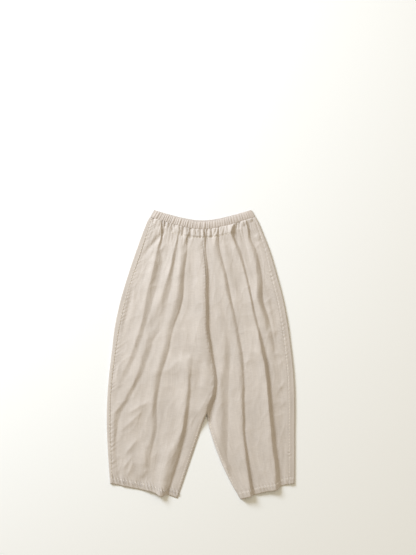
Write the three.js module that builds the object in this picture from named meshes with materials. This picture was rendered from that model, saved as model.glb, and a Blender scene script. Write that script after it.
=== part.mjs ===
// Baggy tapered trousers with a gathered elastic waist, laid flat with the front up.
// Lengths are millimetres. +X runs to the right across the laid garment, +Y towards the waist, +Z up.
// The origin is on the floor at the middle of the outline. "down" is measured from the waist's two
// side corners towards the hems. Left and right are the wearer's, so the right leg lies at -X.
import * as THREE from "three";

const LENGTH = 896; // waist corners to the lowest hem point
const CROTCH = { down: 630, x: 16.3 };
const SIDE_DROP_AT_CROTCH = 44; // a row through the crotch meets the side seams this much higher up

const WALL = 1.2; // one layer of cloth
const HEM_WALL = 2.2; // cloth turned up double
const HEM_DEPTH = 18;
const SEAM_GAP = 0.3;
const SIDE_ROLL = 2.6; // outer radius where the back wraps round to the front

const BAND = {
  wall: 2.4, // casing and elastic together
  topCentre: 37, // down, at the middle of the front's top edge
  bottomCentre: 59.5,
  bottomCorner: 22,
  backRise: 5, // the back stands this much higher than the front, at the middle
  sagRound: 0.45, // how round the dip is at the middle, as a share of the half width
  middle: 5, // x of the waist's middle
  halfTop: 151.5,
  halfBottom: 163.8,
  lift: 2.2, // how far the front wall rises off the back one
  puff: 1.4, // crown of the casing between its two edges
};
const BAND_GATHERS = 44;
const BAND_GATHER_DEPTH = 1.1;
const YOKE_DEPTH = 28; // from the band to the second row of stitching
const YOKE_GATHER_DEPTH = 1.3;

const REST_HEIGHT = 2.4; // the front's middle surface where no fold lifts it
const FOLD_REACH = 30; // how far a fold's long slope runs back from its crest
const SEAM_EASE = 22; // cloth comes down to a seam over this width
const INSEAM_EASE = 90; // the rise seam's height runs out into the inseam over this length

// The outline of the whole garment, with how far the side seams lie inside it, a row for each level.
const OUTLINE = table(
  ["down", "rightEdge", "leftEdge", "rightInset", "leftInset"],
  [0, -146.5, 156.5, 9, 5],
  [22, -158.5, 168.8, 11, 7],
  [40, -168, 179, 13, 9],
  [120, -198, 211, 17, 13],
  [200, -225, 235, 17, 19],
  [280, -249, 256, 17, 19],
  [360, -266, 270.5, 16, 19],
  [440, -276, 281, 13, 19],
  [520, -285, 288.5, 12, 19],
  [600, -290.5, 291, 11.5, 19],
  [680, -291, 291, 11.5, 19],
  [760, -287, 291, 11, 19],
  [850, -281, 290.5, 9, 18],
);

// The front rise seam, which bows out over the left leg near the crotch.
const FRONT_RISE = table(
  ["down", "x"],
  [57, 5.4],
  [120, 8],
  [200, 13],
  [360, 16.5],
  [440, 26],
  [500, 38.5],
  [540, 41.5],
  [580, 31.5],
  [610, 20],
  [CROTCH.down, CROTCH.x],
);

const INSEAMS = table(
  ["down", "rightLeg", "leftLeg"],
  [CROTCH.down, CROTCH.x, CROTCH.x],
  [645, 11, 19.5],
  [680, 0, 27],
  [760, -27, 54],
  [840, -54, 90],
  [896, -73, 122],
);

const RIGHT_HEM = table(
  ["x", "down"],
  [-281, 847],
  [-219, 860],
  [-157, 872],
  [-140, 877],
  [-122, 887],
  [-104, 883],
  [-72, 893],
);

const LEFT_HEM = table(
  ["x", "down"],
  [122, 896],
  [140, 889.5],
  [165, 883.5],
  [208, 872],
  [235, 867],
  [255, 854],
  [291, 847.5],
);

// Each fold is a crest that runs down the leg, with a long slope behind it and a short steep one in
// front. x is the middle of the steep slope, wide is its width and high is the crest's height.
const FOLD_COLUMNS = ["down", "x", "high", "wide"];

const HIP_FOLD = table(
  FOLD_COLUMNS,
  [35, -118.6, 5, 5],
  [120, -130, 7, 8],
  [160, -141, 8, 14],
  [240, -156, 8, 15],
  [320, -171, 6.5, 12],
  [440, -207, 5, 12],
  [560, -242, 0, 12],
  [640, -270, 0, 12],
  [880, -268, 0, 12],
);

const THIGH_FOLD = table(
  FOLD_COLUMNS,
  [80, -70.5, 4, 5],
  [120, -80, 6, 7],
  [200, -96, 6.5, 10],
  [280, -118.5, 6, 16],
  [360, -148, 5, 20],
  [440, -168, 5, 13],
  [520, -200.5, 7, 11],
  [600, -246, 7, 13],
  [640, -258, 5, 11],
  [690, -261, 3, 9],
  [760, -260, 0, 9],
  [880, -254, 0, 9],
);

const KNEE_FOLD = table(
  FOLD_COLUMNS,
  [85, -50, 4, 6],
  [120, -44.8, 6, 8],
  [200, -54, 8, 11],
  [280, -66.5, 9, 13],
  [360, -87.5, 9, 16],
  [440, -112.4, 8, 14],
  [520, -132.5, 7, 11],
  [600, -144, 6.5, 10],
  [680, -145.8, 5.5, 10],
  [760, -153, 3, 13],
  [830, -160, 0, 14],
);

const SHIN_FOLD = table(
  FOLD_COLUMNS,
  [60, -15, 0, 6],
  [200, -24, 0, 6],
  [440, -30, 0.5, 6],
  [470, -31.8, 3.5, 6],
  [520, -37.4, 6, 9],
  [600, -41, 7.5, 11],
  [680, -54, 9.5, 13],
  [760, -69.6, 12, 18],
  [840, -92, 14, 20],
  [896, -110, 14, 20],
);

const RISE_FOLD = table(
  FOLD_COLUMNS,
  [62, 11.6, 3, 6],
  [120, 14.5, 7, 7],
  [200, 20, 9, 7.5],
  [360, 23.4, 10, 8],
  [440, 33.3, 11, 9],
  [500, 46, 12, 9],
  [540, 49, 13, 9],
  [580, 40, 13, 11],
  [620, 27, 8, 13],
  [660, 24, 0, 10],
);

const INNER_FOLD = table(
  FOLD_COLUMNS,
  [60, 34, 0, 6],
  [200, 50, 0, 8],
  [380, 87.6, 1, 12],
  [440, 85, 2.5, 14],
  [600, 73.6, 3.5, 14],
  [680, 73, 3.5, 14],
  [760, 78, 2.5, 14],
  [830, 86, 0, 14],
  [896, 134, 0, 8],
);

const FRONT_FOLD = table(
  FOLD_COLUMNS,
  [72, 54.4, 5, 7],
  [120, 57, 6.5, 8],
  [200, 76, 6.5, 8],
  [280, 95.3, 6, 9],
  [360, 113.3, 5.5, 9],
  [440, 123.8, 5.5, 7],
  [520, 131, 7, 8],
  [600, 131, 8, 8],
  [680, 134, 9, 7.5],
  [760, 144.3, 11, 7.5],
  [896, 167, 12, 9],
);

const POCKET_FOLD = table(
  FOLD_COLUMNS,
  [40, 106, 6, 6],
  [72, 100, 8, 9],
  [120, 114.5, 6, 6],
  [200, 141.2, 5.5, 5.5],
  [280, 159.8, 6, 5.5],
  [360, 176.5, 7, 6],
  [440, 194, 9.5, 8],
  [520, 209, 11, 9],
  [600, 217, 10, 8],
  [760, 233.3, 9, 12],
  [880, 250, 8, 14],
);

const OUTER_FOLD = table(
  FOLD_COLUMNS,
  [40, 144.3, 3.5, 5],
  [120, 161, 6.5, 9],
  [200, 184.6, 8, 13],
  [280, 196, 7, 15],
  [360, 211.6, 4.5, 12],
  [470, 232, 0, 12],
  [880, 272, 0, 8],
);

const FOLDS = [
  HIP_FOLD,
  THIGH_FOLD,
  KNEE_FOLD,
  SHIN_FOLD,
  RISE_FOLD,
  INNER_FOLD,
  FRONT_FOLD,
  POCKET_FOLD,
  OUTER_FOLD,
].map((rows) => ({
  x: curve(rows, "down", "x"),
  high: held(rows, "high"),
  wide: held(rows, "wide"),
}));
const [HIP, THIGH, KNEE, SHIN, RISE, INNER, FRONT, POCKET, OUTER] = FOLDS;

// Down the length: close rows in the gathers and at the hem, even rows between.
const CROTCH_SHARE = 0.683;
const HEM_SHARE = 1 - HEM_DEPTH / 835;
const ROWS = [
  0,
  0.017,
  0.034,
  ...evenly(0.06, CROTCH_SHARE, 15),
  ...evenly(CROTCH_SHARE, HEM_SHARE, 7).slice(1),
  HEM_SHARE + 0.003,
  1,
];
const LEAST_SPAN = 8; // between two neighbouring folds

function table(columns, ...rows) {
  return rows.map((row) => Object.fromEntries(columns.map((name, i) => [name, row[i]])));
}

function evenly(from, to, count) {
  return Array.from({ length: count }, (_, i) => lerp(from, to, i / (count - 1)));
}

function lerp(a, b, share) {
  return a + (b - a) * share;
}

function smooth(share) {
  const t = Math.min(1, Math.max(0, share));
  return t * t * (3 - 2 * t);
}

// A smooth curve through a table's rows, straight beyond its ends.
function curve(rows, along, column) {
  const u = rows.map((row) => row[along]);
  const v = rows.map((row) => row[column]);
  const last = u.length - 1;
  const slope = v.map((_, i) => {
    const a = Math.max(i - 1, 0);
    const b = Math.min(i + 1, last);
    return (v[b] - v[a]) / (u[b] - u[a]);
  });
  return (at) => {
    if (at <= u[0]) return v[0] + slope[0] * (at - u[0]);
    if (at >= u[last]) return v[last] + slope[last] * (at - u[last]);
    const i = u.findIndex((next) => next > at) - 1;
    const span = u[i + 1] - u[i];
    const t = (at - u[i]) / span;
    const s = 1 - t;
    return (
      v[i] * (1 + 2 * t) * s * s +
      v[i + 1] * (3 - 2 * t) * t * t +
      span * t * s * (slope[i] * s - slope[i + 1] * t)
    );
  };
}

// Straight between rows, and constant beyond its ends.
function held(rows, column) {
  return (down) => {
    const next = rows.findIndex((row) => row.down > down);
    if (next === 0) return rows[0][column];
    if (next < 0) return rows[rows.length - 1][column];
    const a = rows[next - 1];
    const b = rows[next];
    return lerp(a[column], b[column], (down - a.down) / (b.down - a.down));
  };
}

const riseAt = curve(FRONT_RISE, "down", "x");

const RIGHT_LEG = {
  outward: -1,
  edge: curve(OUTLINE, "down", "rightEdge"),
  inset: curve(OUTLINE, "down", "rightInset"),
  inseam: curve(INSEAMS, "down", "rightLeg"),
  hem: curve(RIGHT_HEM, "x", "down"),
};

const LEFT_LEG = {
  outward: 1,
  edge: curve(OUTLINE, "down", "leftEdge"),
  inset: curve(OUTLINE, "down", "leftInset"),
  inseam: curve(INSEAMS, "down", "leftLeg"),
  hem: curve(LEFT_HEM, "x", "down"),
};

function sideSeam(leg, down) {
  return leg.edge(down) - leg.outward * leg.inset(down);
}

function frontInner(leg, down) {
  return down < CROTCH.down ? riseAt(down) : leg.inseam(down);
}

// The back rise is straight, from the waist's middle to the crotch.
function backInner(leg, down) {
  const share = (down - BAND.bottomCentre) / (CROTCH.down - BAND.bottomCentre);
  return down < CROTCH.down ? lerp(BAND.middle, CROTCH.x, share) : leg.inseam(down);
}

// How far the waist dips, 1 at the middle and 0 at the side corners.
function waistDip(across) {
  const out = Math.min(1, Math.abs(across)) / BAND.sagRound;
  return 1 - (Math.hypot(1, out) - 1) / (Math.hypot(1, 1 / BAND.sagRound) - 1);
}

function bandBottom(x) {
  return lerp(BAND.bottomCorner, BAND.bottomCentre, waistDip((x - BAND.middle) / BAND.halfBottom));
}

function crotchRow(leg, x) {
  const out = (x - CROTCH.x) / (leg.edge(CROTCH.down) - CROTCH.x);
  return CROTCH.down - SIDE_DROP_AT_CROTCH * Math.max(0, out);
}

// Where a lengthwise line of the cloth, x as a function of down, crosses the waist, the crotch row and
// the hem. The answer depends on x there, so it is found by repeating.
function crossings(leg, xAt) {
  const settle = (level, start) => {
    let down = start;
    for (let i = 0; i < 6; i++) down = level(xAt(down));
    return down;
  };
  return [
    settle(bandBottom, BAND.bottomCorner) + SEAM_GAP,
    settle((x) => crotchRow(leg, x), CROTCH.down),
    settle(leg.hem, LENGTH),
  ];
}

function downAt([waist, crotch, hem], share) {
  return share < CROTCH_SHARE
    ? lerp(waist, crotch, share / CROTCH_SHARE)
    : lerp(crotch, hem, (share - CROTCH_SHARE) / (1 - CROTCH_SHARE));
}

function wallAt(share) {
  return share > HEM_SHARE ? HEM_WALL : WALL;
}

function foldHeight(fold, x, down) {
  const high = fold.high(down);
  const wide = fold.wide(down);
  const along = (x - fold.x(down)) / wide; // -0.5 at the crest and 0.5 at the foot
  if (high <= 0 || along >= 0.5) return 0;
  if (along > -0.5) return (high * (1 - Math.sin(Math.PI * along))) / 2;
  const behind = ((-0.5 - along) * wide) / FOLD_REACH;
  return high * Math.exp(-behind * behind);
}

// Height of the front's middle surface, from the folds, brought down to the seams at both sides.
function frontHeight(leg, x, down, wall) {
  const free = REST_HEIGHT + FOLDS.reduce((sum, fold) => sum + foldHeight(fold, x, down), 0);
  const atSide = 2 * SIDE_ROLL - wall / 2;
  const atInseam = wall + SEAM_GAP + wall / 2;
  const fromSide = Math.abs(x - sideSeam(leg, down));
  const fromInner = Math.abs(x - frontInner(leg, down));
  const sideShare = smooth(fromSide / SEAM_EASE);
  const legShare = smooth((down - CROTCH.down + INSEAM_EASE / 2) / INSEAM_EASE);
  const innerShare = 1 - legShare * (1 - smooth(fromInner / SEAM_EASE));
  return lerp(atInseam, lerp(atSide, free, sideShare), innerShare);
}

// The column positions across a front at one level: the crest and foot of each fold, in order from
// low to high x, with even columns between them. spans holds the columns in each stretch.
function columnsAcross(low, high, folds, spans, down) {
  const at = [low, ...folds.map((fold) => fold.x(down)), high];
  const last = at.length - 1;
  for (let i = 1; i < last; i++) at[i] = Math.max(at[i], at[i - 1] + LEAST_SPAN);
  for (let i = last - 1; i > 0; i--) at[i] = Math.min(at[i], at[i + 1] - LEAST_SPAN);
  const stops = [low];
  folds.forEach((fold, i) => {
    const room = 0.4 * Math.min(at[i + 1] - at[i], at[i + 2] - at[i + 1]);
    const half = Math.min(fold.wide(down) / 2, room);
    stops.push(at[i + 1] - half, at[i + 1] + half);
  });
  stops.push(high);
  const columns = [low];
  for (let i = 1; i < stops.length; i++) {
    const count = i % 2 ? spans[(i - 1) / 2] : 1;
    for (let k = 1; k <= count; k++) columns.push(lerp(stops[i - 1], stops[i], k / count));
  }
  return columns;
}

// A closed solid from two grids of points that share their rim, one above the other.
function sheetGeometry(upper, lower) {
  const rows = upper.length;
  const columns = upper[0].length;
  const points = [...upper.flat(), ...lower.flat()];
  const under = rows * columns;
  const faces = [];
  const quad = (a, b, c, d) => faces.push(a, b, c, a, c, d);
  for (let j = 0; j + 1 < rows; j++)
    for (let i = 0; i + 1 < columns; i++) {
      const a = j * columns + i;
      quad(a, a + columns, a + columns + 1, a + 1);
      quad(under + a, under + a + 1, under + a + columns + 1, under + a + columns);
    }
  const rim = [];
  for (let i = 0; i < columns - 1; i++) rim.push(i);
  for (let j = 0; j < rows - 1; j++) rim.push(j * columns + columns - 1);
  for (let i = columns - 1; i > 0; i--) rim.push((rows - 1) * columns + i);
  for (let j = rows - 1; j > 0; j--) rim.push(j * columns);
  rim.forEach((a, i) => {
    const b = rim[(i + 1) % rim.length];
    quad(a, b, under + b, under + a);
  });
  return facingOut(points, faces);
}

function facingOut(points, faces) {
  const box = points.flatMap((p) => [p.x, p.y, p.z]);
  let volume = 0;
  for (let i = 0; i < faces.length; i += 3) {
    const [a, b, c] = [0, 1, 2].map((k) => points[faces[i + k]]);
    volume += a.dot(new THREE.Vector3().crossVectors(b, c));
  }
  const turned = [];
  for (let i = 0; i < faces.length; i += 3) turned.push(faces[i], faces[i + 2], faces[i + 1]);
  const geometry = new THREE.BufferGeometry();
  geometry.setAttribute("position", new THREE.Float32BufferAttribute(box, 3));
  geometry.setIndex(volume > 0 ? faces : turned);
  geometry.computeVertexNormals();
  return geometry;
}

function place(x, down, z) {
  return new THREE.Vector3(x, LENGTH / 2 - down, z);
}

// The front of one leg: its columns follow the folds, and alternate columns rise in the gathers.
function frontPanel(leg, folds, spans) {
  const across = (down) => {
    const side = sideSeam(leg, down) - (leg.outward * SEAM_GAP) / 2;
    const inner = frontInner(leg, down) + (leg.outward * SEAM_GAP) / 2;
    return columnsAcross(Math.min(side, inner), Math.max(side, inner), folds, spans, down);
  };
  const lines = across(LENGTH / 2).map((_, i) => crossings(leg, (down) => across(down)[i]));
  const grid = ROWS.map((share, j) =>
    lines.map((line, i) => {
      const down = downAt(line, share);
      const x = across(down)[i];
      const gathered = (i % 2 ? 0.5 : -0.5) * YOKE_GATHER_DEPTH * Math.max(0, 1 - j / 4);
      const rim = i === 0 || i === lines.length - 1;
      const z = frontHeight(leg, x, down, wallAt(share)) + (rim ? 0 : gathered);
      return place(x, down, z);
    }),
  );
  const upper = [];
  const lower = [];
  grid.forEach((row, j) => {
    const wall = wallAt(ROWS[j]);
    const half = row.map((p, i) => {
      const a = row[Math.max(i - 1, 0)];
      const b = row[Math.min(i + 1, row.length - 1)];
      const rim = i === 0 || i === row.length - 1;
      const slope = rim ? 0 : (b.z - a.z) / (b.x - a.x);
      return (wall / 2) * Math.min(1.8, Math.hypot(1, slope));
    });
    const lowest = (i) => wall + SEAM_GAP + half[i];
    const middle = row.map((p, i) => Math.max(p.z, lowest(i)));
    upper.push(row.map((p, i) => new THREE.Vector3(p.x, p.y, middle[i] + half[i])));
    lower.push(row.map((p, i) => new THREE.Vector3(p.x, p.y, middle[i] - half[i])));
  });
  return sheetGeometry(upper, lower);
}

// The back of one leg: flat on the floor from the rise or inseam to the outer edge, rolled up round
// that edge, and on over the front as a strip that ends at the side seam.
const BACK_FLAT_COLUMNS = 6;
const ROLL_STEPS = 4;
function backPanel(leg) {
  const out = leg.outward;
  const centre = (down) => leg.edge(down) - out * SIDE_ROLL;
  const inner = (down) => backInner(leg, down) + (out * SEAM_GAP) / 2;
  const stripEnd = (down) => sideSeam(leg, down) + (out * SEAM_GAP) / 2;
  const lines = [];
  evenly(0, 1, BACK_FLAT_COLUMNS).forEach((share) =>
    lines.push({ x: (down) => lerp(inner(down), centre(down), share), turn: 0 }),
  );
  evenly(0, 1, ROLL_STEPS + 1)
    .slice(1)
    .forEach((share) => lines.push({ x: centre, turn: share * Math.PI }));
  lines.push({ x: stripEnd, turn: Math.PI });
  const marks = lines.map((line) => crossings(leg, line.x));
  const skin = (depth) =>
    ROWS.map((share) =>
      lines.map((line, i) => {
        const down = downAt(marks[i], share);
        const radius = SIDE_ROLL - depth * wallAt(share);
        const x = line.x(down) + out * radius * Math.sin(line.turn);
        return place(x, down, SIDE_ROLL - radius * Math.cos(line.turn));
      }),
    );
  return sheetGeometry(skin(0), skin(1));
}

// The waistband: one loop of casing, gathered over the front and flat underneath.
const BAND_BACK_COLUMNS = 24;
const BAND_LEVELS = [0, 0.3, 0.7, 1]; // from the top edge to the bottom edge
function waistband() {
  const roll = BAND.wall + SEAM_GAP; // outer radius at the side corners
  const stations = [];
  evenly(-1, 1, 2 * BAND_GATHERS + 1).forEach((across, i) =>
    stations.push({ across, turn: 0, front: true, ridge: i % 2 }),
  );
  evenly(0, 1, ROLL_STEPS + 1)
    .slice(1, -1)
    .forEach((share) => stations.push({ across: 1, turn: share * Math.PI }));
  evenly(1, -1, BAND_BACK_COLUMNS + 1).forEach((across) => stations.push({ across, turn: Math.PI }));
  evenly(1, 0, ROLL_STEPS + 1)
    .slice(1, -1)
    .forEach((share) => stations.push({ across: -1, turn: share * Math.PI }));
  const point = (station, level, outer) => {
    const { across, turn, front } = station;
    const dip = waistDip(across);
    const backward = front ? 0 : (BAND.backRise * (1 - Math.cos(turn)) * dip) / 2;
    const top = BAND.topCentre * dip - backward;
    const bottom = lerp(BAND.bottomCorner, BAND.bottomCentre, dip) - backward;
    const half = lerp(BAND.halfTop, BAND.halfBottom, level) - roll;
    const radius = outer ? roll : roll - BAND.wall;
    const ease = smooth((1 - Math.abs(across)) * 8);
    const crown = Math.sin(Math.PI * level) * BAND.puff;
    const gather = station.ridge ? BAND_GATHER_DEPTH * (0.4 + 0.6 * Math.sin(Math.PI * level)) : 0;
    const raised = front ? ease * (BAND.lift + (outer ? crown + gather : 0)) : 0;
    const x = BAND.middle + across * half + Math.sign(across) * radius * Math.sin(turn);
    return place(x, lerp(top, bottom, level), roll + radius * Math.cos(turn) + raised);
  };
  const rings = stations.map((station) => [
    ...BAND_LEVELS.map((level) => point(station, level, true)),
    point(station, 1, false),
    point(station, 0, false),
  ]);
  const around = rings[0].length;
  const faces = [];
  rings.forEach((_, i) => {
    const next = (i + 1) % rings.length;
    for (let k = 0; k < around; k++) {
      const l = (k + 1) % around;
      const corners = [i * around + k, next * around + k, next * around + l, i * around + l];
      faces.push(corners[0], corners[1], corners[2], corners[0], corners[2], corners[3]);
    }
  });
  return facingOut(rings.flat(), faces);
}

function named(name, geometry, color) {
  const material = new THREE.MeshStandardMaterial({ color, roughness: 0.9, metalness: 0 });
  const mesh = new THREE.Mesh(geometry, material);
  mesh.name = name;
  return mesh;
}

const OATMEAL = 0xdacfc1;
const OATMEAL_BAND = 0xd8cdbf;

const trousers = new THREE.Group();
trousers.add(
  named("waistband", waistband(), OATMEAL_BAND),
  named("front_right_leg", frontPanel(RIGHT_LEG, [HIP, THIGH, KNEE, SHIN], [5, 5, 4, 5, 4]), OATMEAL),
  named(
    "front_left_leg",
    frontPanel(LEFT_LEG, [RISE, INNER, FRONT, POCKET, OUTER], [1, 5, 4, 5, 5, 4]),
    OATMEAL,
  ),
  named("back_right_leg", backPanel(RIGHT_LEG), OATMEAL),
  named("back_left_leg", backPanel(LEFT_LEG), OATMEAL),
);

export default trousers;
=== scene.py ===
"""Baggy cropped trousers laid flat with the front up: cloth, stitching, floor, light and camera.

Lengths are millimetres until a mesh is made. "down" is measured from the waist's side corners towards
the hems. Left and right are the wearer's, so the right leg lies at -X. Places written as (x, down) are
on the laid garment as it is seen from above.
"""

import math

import bpy
import numpy as np
from mathutils import Matrix, Vector
from mathutils.bvhtree import BVHTree


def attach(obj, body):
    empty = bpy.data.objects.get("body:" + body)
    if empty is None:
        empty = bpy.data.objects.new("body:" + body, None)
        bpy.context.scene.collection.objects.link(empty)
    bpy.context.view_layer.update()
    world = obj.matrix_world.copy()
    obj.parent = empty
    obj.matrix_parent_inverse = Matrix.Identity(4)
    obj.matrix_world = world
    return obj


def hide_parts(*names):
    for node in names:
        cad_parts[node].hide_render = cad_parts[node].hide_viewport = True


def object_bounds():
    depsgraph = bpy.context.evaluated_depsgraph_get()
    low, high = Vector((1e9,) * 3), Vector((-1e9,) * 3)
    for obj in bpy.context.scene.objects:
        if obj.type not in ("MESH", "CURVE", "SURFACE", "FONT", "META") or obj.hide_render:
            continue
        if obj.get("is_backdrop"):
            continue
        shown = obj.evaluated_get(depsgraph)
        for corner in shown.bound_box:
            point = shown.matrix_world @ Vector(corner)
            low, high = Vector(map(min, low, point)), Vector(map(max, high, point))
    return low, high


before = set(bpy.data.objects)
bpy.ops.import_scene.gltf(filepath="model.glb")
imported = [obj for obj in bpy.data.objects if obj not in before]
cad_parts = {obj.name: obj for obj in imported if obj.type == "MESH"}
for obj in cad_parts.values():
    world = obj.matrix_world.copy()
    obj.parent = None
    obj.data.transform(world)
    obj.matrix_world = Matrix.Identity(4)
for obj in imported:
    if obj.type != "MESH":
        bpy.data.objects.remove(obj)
cad_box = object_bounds()

MM = 0.001  # in metres
LENGTH = 896  # waist corners to the lowest hem point
CROTCH_DOWN, CROTCH_X = 630, 16.3
CROTCH_SHARE = 0.683  # how much of the way from the band to the hem lies above the crotch
SIDE_DROP_AT_CROTCH = 44  # a row through the crotch meets the side seams this much higher up
PANEL_WIDTH = 270  # about the width of one front

CLOTH = 0.5  # one layer
GAP = 0.3  # between two layers that touch
SIDE_ROLL = 2.5  # outer radius where the back wraps round to the front
FLAT_SHARE, ROLL_SHARE = 0.66, 0.80  # of the back's columns: flat below the first, on top past the second
LAP = 3.0  # how far an edge tucks under its neighbour at a seam
TUCK = 1.1  # how much lower the tucked edge lies
HEM_DEPTH = 19  # from the hem's stitching to its edge
HEM_PLY = 0.8  # how much the turned-up cloth lifts the hem
HEM_GROOVE = 0.7  # how deep its stitching lies
HEM_FALL = 1.2  # how much the hem sinks towards its edge
YOKE_DEPTH = 27  # from the band seam to the second row of stitching
YOKE_GATHERS = 19  # fine ones across one front
YOKE_PUFF = 2.4  # how far the cloth stands up between the band seam and the second row
YOKE_MIDDLE = 4  # x: the second row pulls hardest here
SECOND_ROW_GROOVE = 0.7  # how deep that row lies

BAND_TOP, BAND_BOTTOM, BAND_CORNER = 37, 59.5, 22  # down, at the middle and at the side corners
BAND_BACK_RISE = 5  # the back stands this much higher than the front, at the middle
BAND_MIDDLE = 5  # x
BAND_HALF_TOP, BAND_HALF_BOTTOM = 151.5, 163.8  # half its length at its upper and lower edge
BAND_ROUND = 0.45  # how round the dip is at the middle, as a share of the half width
BAND_WALL = 2.2  # one side of the loop: the casing with its elastic
BAND_SQUARE = 0.6  # its section: 1 would be round, and less is squarer
BAND_GATHERS = 44  # over the front

# One stitch's repeat, length and thread. Real ones are about a third of this and too fine to show.
STITCH_PITCH, STITCH, THREAD = 9.2, 4.8, 1.9
# How deep the tight stitches of the upper side seams are pulled into the cloth. They are all so deep
# down to the level given, and no longer so at the end of the length given.
STITCH_BEDDED = {"right": 0, "left": 0.7}
BEDDED_DOWN, BEDDED_FADE = 330, 120
SIDE_ROW, INSEAM_ROW = (30, 828), (660, 862)  # down: where the rows beside the seams start and end
SIDE_ROW_ASIDE, INSEAM_ROW_ASIDE = 2.2, 7  # how far outward of its seam each row lies
HEM_ROW_INNER, HEM_ROW_OUTER = 870, 830  # down: where a hem's row meets the two edges of the leg
HEM_ROW_INNER_SHORT, HEM_ROW_OUTER_SHORT = 2, 3  # and how far before them it stops
SECOND_ROW = (-92, 90)  # x: where the row under the band starts and ends
POCKET_TOP, POCKET_BOTTOM = 86, 190  # down: the pocket mouths in the side seams
TACK_START, TACK_END = -4, 5  # a pocket's bar tack, measured from the side seam

REST = 3.2  # the front's upper surface where no fold lifts it
BAND_SEAM = 5.8  # its height at the band seam
UNDER_BAND = 4.2  # the most that it rises past that seam, where it runs up under the band
SEAM_EASE = 22  # cloth comes down to a seam over this width
INNER_EASE = {"right": 20, "left": 9}  # the same at an inseam
INSEAM_HEIGHT = {"right": 2.0, "left": 3.6}  # beside the inseam, where the cloth turns down to the back
INSEAM_TURN = 2.4  # the width of that turn
CROTCH_TURN = 3  # how much wider it starts at the crotch
INSEAM_RIDGE = 0.8  # a low ridge where the seam's allowances lie inside
INSEAM_EASE_START = {"right": 625, "left": 600}  # down: above these the folds keep their height
INSEAM_EASE = 90  # and over this length they lose it
BAND_EASE = 7  # cloth comes down to the band seam over this length
CREASE_ROUND = 2  # how round a short crease's crest is
HEM_PUCKER = {"right": 3.2, "left": 1.7}  # how strongly the hem's stitching puckers the cloth
CREST_ROUND = 0.3  # how round a crest is on the side of its long slope, as a share of the steep one
FOOT_DIP = 0.1  # how far the foot sinks below the cloth beyond it, as a share of the crest's height
DARK_BEFORE_FOOT = 4.5  # the tables' x, a fold's darkest line, lies this far before its foot
LEAN_SHIFT = 1.15  # keeps a leaning crest's dark side where the table says

# The columns and rows of each grid. They keep every piece, with its inside, under 200,000 triangles.
FRONT_GRID = {"right": (148, 320), "left": (140, 320)}
BACK_GRID = (110, 240)
BAND_GRID = (560, 28)
# About the size of each piece when flat, which its weave is laid out on.
FRONT_CUT = {"right": (330, 860), "left": (310, 860)}
BACK_CUT = (340, 860)
BAND_CUT = (900, 52)

FLOOR_LEVEL = -0.0004  # metres: just below the cloth
CAMERA_PLACE = (0.0225, 0.2387, 4.062)  # metres, straight above
LENS, SENSOR = 85, 36
ROOM_COLOUR, ROOM_STRENGTH = "#ffeece", 0.51
# Name, place and width in metres, watts and colour. The window stands low at the upper left.
LAMPS = (
    ("window_light", (-2.35, 2.35, 1.9), 1.5, 164, "#ecf5ff"),
    ("fill_light", (1.5, 1.3, 2.6), 2.4, 6, "#fff4e4"),
)


def table(columns, *rows):
    """Named columns of numbers, each an array."""
    return {name: np.array([row[i] for row in rows], float) for i, name in enumerate(columns.split())}


OUTLINE = table(
    "down right_edge left_edge right_inset left_inset",
    (0, -146.5, 156.5, 9, 5),
    (22, -158.5, 168.8, 11, 7),
    (40, -168, 179, 13, 9),
    (120, -198, 211, 17, 13),
    (200, -225, 235, 17, 19),
    (280, -249, 256, 17, 19),
    (360, -266, 270.5, 16, 19),
    (440, -276, 281, 13, 19),
    (520, -285, 288.5, 12, 19),
    (600, -290.5, 291, 11.5, 19),
    (680, -291, 291, 11.5, 19),
    (760, -287, 291, 11, 19),
    (850, -281, 290.5, 9, 18),
)

FRONT_RISE = table(
    "down x",
    (57, 5.4),
    (120, 8),
    (200, 13),
    (360, 16.5),
    (440, 26),
    (500, 38.5),
    (540, 41.5),
    (580, 31.5),
    (610, 20),
    (CROTCH_DOWN, CROTCH_X),
)

INSEAMS = table(
    "down right_leg left_leg",
    (CROTCH_DOWN, CROTCH_X, CROTCH_X),
    (645, 11, 19.5),
    (680, 0, 27),
    (760, -27, 54),
    (840, -54, 90),
    (896, -73, 122),
)

RIGHT_HEM = table(
    "x down",
    (-281, 847),
    (-219, 860),
    (-157, 872),
    (-140, 877),
    (-122, 887),
    (-104, 883),
    (-72, 893),
)

LEFT_HEM = table(
    "x down",
    (122, 896),
    (140, 889.5),
    (165, 883.5),
    (208, 872),
    (235, 867),
    (255, 854),
    (291, 847.5),
)

# The long folds. x is the darkest line on the steep slope, which faces right. high is the crest's
# height, wide the steep slope's width, reach the long slope behind it, and roll how far the crest
# leans over.
FOLD_COLUMNS = "down x high wide reach roll"

HIP_FOLD = table(
    FOLD_COLUMNS,
    (35, -118.6, 3, 5, 8, 0),
    (60, -119, 4.5, 6, 20, 0),
    (90, -121.5, 4, 6, 28, 1),
    (120, -129.5, 4.5, 11, 28, 1),
    (160, -132, 8, 29, 18, 1),
    (240, -151, 7.5, 25, 20, 1),
    (320, -168.5, 5, 19, 18, 1),
    (440, -205.5, 4, 17, 20, 0),
    (500, -232, 2.2, 18, 18, 0),
    (575, -262, 0, 14, 18, 0),
)

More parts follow.
